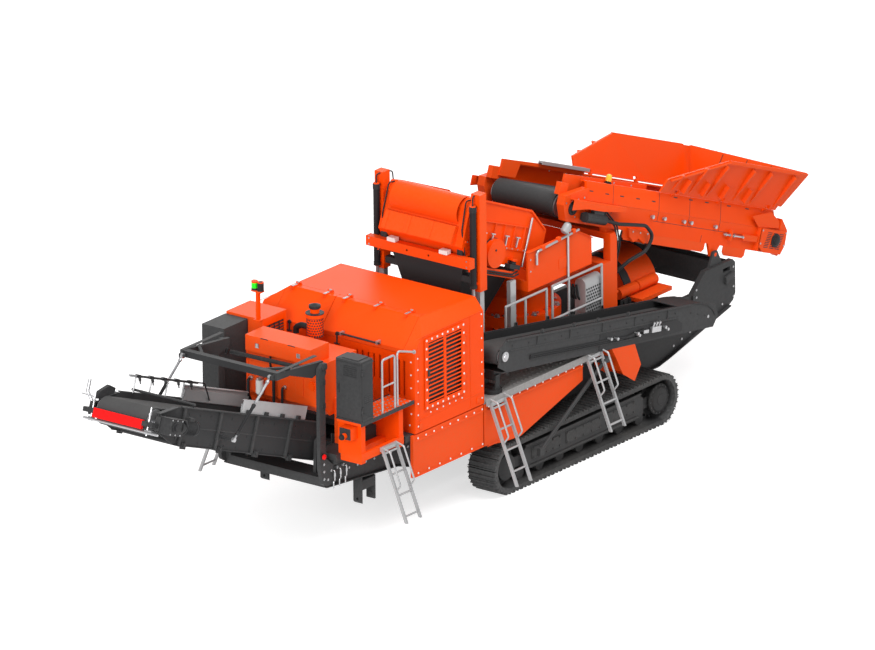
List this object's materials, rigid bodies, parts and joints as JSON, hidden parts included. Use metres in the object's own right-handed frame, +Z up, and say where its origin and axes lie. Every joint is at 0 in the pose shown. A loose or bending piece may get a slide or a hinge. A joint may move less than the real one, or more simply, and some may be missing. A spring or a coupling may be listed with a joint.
{
  "type": "tracked mobile cone crusher",
  "caption": "Crawler-mounted cone crusher with rear feed hopper and conveyor, pre-screen, power unit, front discharge conveyor and stowed side conveyor.",
  "frame": {"origin": "on the ground under the middle of the machine's overall box", "axes": "+X towards the feed hopper end, +Y to the side away from the side conveyor, +Z up"},
  "size_m": [15.2514, 3.9616, 4.56],
  "materials": {
    "orange_paint": "satin",
    "charcoal_paint": "satin",
    "track_steel": "matte",
    "belt_rubber": "matte",
    "bare_steel": "satin",
    "galvanised": "satin",
    "grey_paint": "satin",
    "red_paint": "gloss",
    "black_parts": "satin"
  },
  "bodies": {
    "root": {"track_near": "track_steel", "track_far": "track_steel", "track_frames": "charcoal_paint", "chassis_rails": "charcoal_paint", "cross_members": "charcoal_paint", "front_legs": "charcoal_paint", "power_base": "charcoal_paint", "canopy_shell": "orange_paint", "engine_block": "black_parts", "cabinets": "charcoal_paint", "hydraulic_tank": "orange_paint", "tool_box": "orange_paint", "cooler_housing": "orange_paint", "beacon_mast": "orange_paint", "air_cleaner": "orange_paint", "step_frame": "orange_paint", "gantry_posts": "charcoal_paint", "tail_conveyor": "charcoal_paint", "decks": "grey_paint", "aprons": "orange_paint", "handrails": "galvanised", "ladders": "galvanised", "crusher_body": "orange_paint", "crusher_hopper": "orange_paint", "pulley_guard": "orange_paint", "conveyor_stand": "orange_paint", "crusher_guard": "galvanised", "screen_legs": "galvanised"},
    "front_conveyor": {"main_frame": "charcoal_paint", "main_skirts": "galvanised", "main_belt": "belt_rubber", "main_scraper": "red_paint"},
    "front_head_drum": {"main_head_drum": "bare_steel"},
    "front_tail_drum": {"main_tail_drum": "bare_steel"},
    "gantry": {"gantry_arms": "charcoal_paint"},
    "links": {"lift_links": "galvanised"},
    "roof_lid_a": {"roof_lid_near": "orange_paint"},
    "roof_lid_b": {"roof_lid_far": "orange_paint"},
    "side_door": {"grille_door": "orange_paint"},
    "box_lid": {"tool_box_lid": "orange_paint"},
    "panel_door": {"cabinet_door": "charcoal_paint"},
    "screen": {"screen_frame": "orange_paint", "screen_box": "orange_paint", "fines_chute": "charcoal_paint"},
    "feed_conveyor": {"feed_frame": "orange_paint", "feed_belt": "belt_rubber", "feed_motor": "black_parts"},
    "feed_head": {"feed_head_drum": "bare_steel"},
    "feed_tail": {"feed_tail_drum": "bare_steel"},
    "hopper_wall_near": {"hopper_near": "orange_paint"},
    "hopper_wall_far": {"hopper_far": "orange_paint"},
    "hopper_wall_rear": {"hopper_rear": "orange_paint"},
    "pulley": {"drive_pulley": "track_steel"},
    "slew_bracket": {"side_bracket": "charcoal_paint"},
    "side_conveyor": {"side_frame": "charcoal_paint", "side_belt": "belt_rubber", "side_hood": "orange_paint"},
    "side_tail": {"side_tail_drum": "bare_steel"},
    "side_head": {"side_head_drum": "bare_steel"}
  },
  "joints": [
    {"name": "conveyor_lift", "type": "hinge", "parent": "root", "child": "front_conveyor", "pos_m": [-3.66, 0, 1.67], "axis": [0, 1, 0], "range_deg": [-4, 5]},
    {"name": "gantry_swing", "type": "hinge", "parent": "root", "child": "gantry", "pos_m": [-3.95, 0, 2.98], "axis": [0, 1, 0], "range_deg": [-11, 13.5]},
    {"name": "link_swing", "type": "hinge", "parent": "gantry", "child": "links", "pos_m": [-5.03, 0, 3.1], "axis": [0, 1, 0], "range_deg": [-16.5, 13.5]},
    {"name": "front_head_spin", "type": "hinge", "parent": "front_conveyor", "child": "front_head_drum", "pos_m": [-7.30977, 0, 2.99841], "axis": [0, 1, 0], "continuous": true},
    {"name": "front_tail_spin", "type": "hinge", "parent": "front_conveyor", "child": "front_tail_drum", "pos_m": [-3.66, 0, 1.67], "axis": [0, 1, 0], "continuous": true},
    {"name": "screen_lift", "type": "slide", "parent": "root", "child": "screen", "axis": [0, 0, 1], "range_m": [0, 0.3]},
    {"name": "feed_tilt", "type": "hinge", "parent": "root", "child": "feed_conveyor", "pos_m": [5.64, 0, 1.95], "axis": [0, 1, 0], "range_deg": [0, 5]},
    {"name": "feed_head_spin", "type": "hinge", "parent": "feed_conveyor", "child": "feed_head", "pos_m": [2.23864, 0, 3.63198], "axis": [0, 1, 0], "continuous": true},
    {"name": "feed_tail_spin", "type": "hinge", "parent": "feed_conveyor", "child": "feed_tail", "pos_m": [7.09, 0, 1.76], "axis": [0, 1, 0], "continuous": true},
    {"name": "hopper_near_fold", "type": "hinge", "parent": "feed_conveyor", "child": "hopper_wall_near", "pos_m": [5.85257, -0.78, 2.71982], "axis": [-0.933, 0, 0.36], "range_deg": [0, 110]},
    {"name": "hopper_far_fold", "type": "hinge", "parent": "feed_conveyor", "child": "hopper_wall_far", "pos_m": [5.85257, 0.78, 2.71982], "axis": [0.933, 0, -0.36], "range_deg": [0, 110]},
    {"name": "hopper_rear_fold", "type": "hinge", "parent": "feed_conveyor", "child": "hopper_wall_rear", "pos_m": [7.22681, 0, 2.18955], "axis": [0, 1, 0], "range_deg": [0, 50]},
    {"name": "pulley_spin", "type": "hinge", "parent": "root", "child": "pulley", "pos_m": [3.94, 0, 1.72], "axis": [1, 0, 0], "continuous": true},
    {"name": "side_slew", "type": "hinge", "parent": "root", "child": "slew_bracket", "pos_m": [-0.36, -1.27, 1.64], "axis": [0, 0, -1], "range_deg": [0, 90]},
    {"name": "side_tilt", "type": "hinge", "parent": "slew_bracket", "child": "side_conveyor", "pos_m": [-0.36, -1.27, 1.86], "axis": [0, -1, 0], "range_deg": [0, 15]},
    {"name": "side_tail_spin", "type": "hinge", "parent": "side_conveyor", "child": "side_tail", "pos_m": [-0.36461, -1.27, 2.21936], "axis": [0, 1, 0], "continuous": true},
    {"name": "side_head_spin", "type": "hinge", "parent": "side_conveyor", "child": "side_head", "pos_m": [4.58095, -1.27, 1.41835], "axis": [0, 1, 0], "continuous": true},
    {"name": "roof_lid_near_open", "type": "hinge", "parent": "root", "child": "roof_lid_a", "pos_m": [-1.95, -0.485, 3.292], "axis": [0, 1, 0], "range_deg": [0, 75]},
    {"name": "roof_lid_far_open", "type": "hinge", "parent": "root", "child": "roof_lid_b", "pos_m": [-1.95, 0.73, 3.292], "axis": [0, 1, 0], "range_deg": [0, 75]},
    {"name": "grille_door_open", "type": "hinge", "parent": "root", "child": "side_door", "pos_m": [-1.242, -1.466, 2.455], "axis": [0, 0, 1], "range_deg": [0, 100]},
    {"name": "box_lid_open", "type": "hinge", "parent": "root", "child": "box_lid", "pos_m": [-3.358, 0, 3.034], "axis": [0, 1, 0], "range_deg": [0, 80]},
    {"name": "cabinet_door_open", "type": "hinge", "parent": "root", "child": "panel_door", "pos_m": [-3.739, -1.492, 2.615], "axis": [0, 0, 1], "range_deg": [0, 110]}
  ],
  "couplings": [
    {"joint": "gantry_swing", "follows": "conveyor_lift", "ratio": 2.5446},
    {"joint": "link_swing", "follows": "conveyor_lift", "ratio": -3.1286}
  ]
}
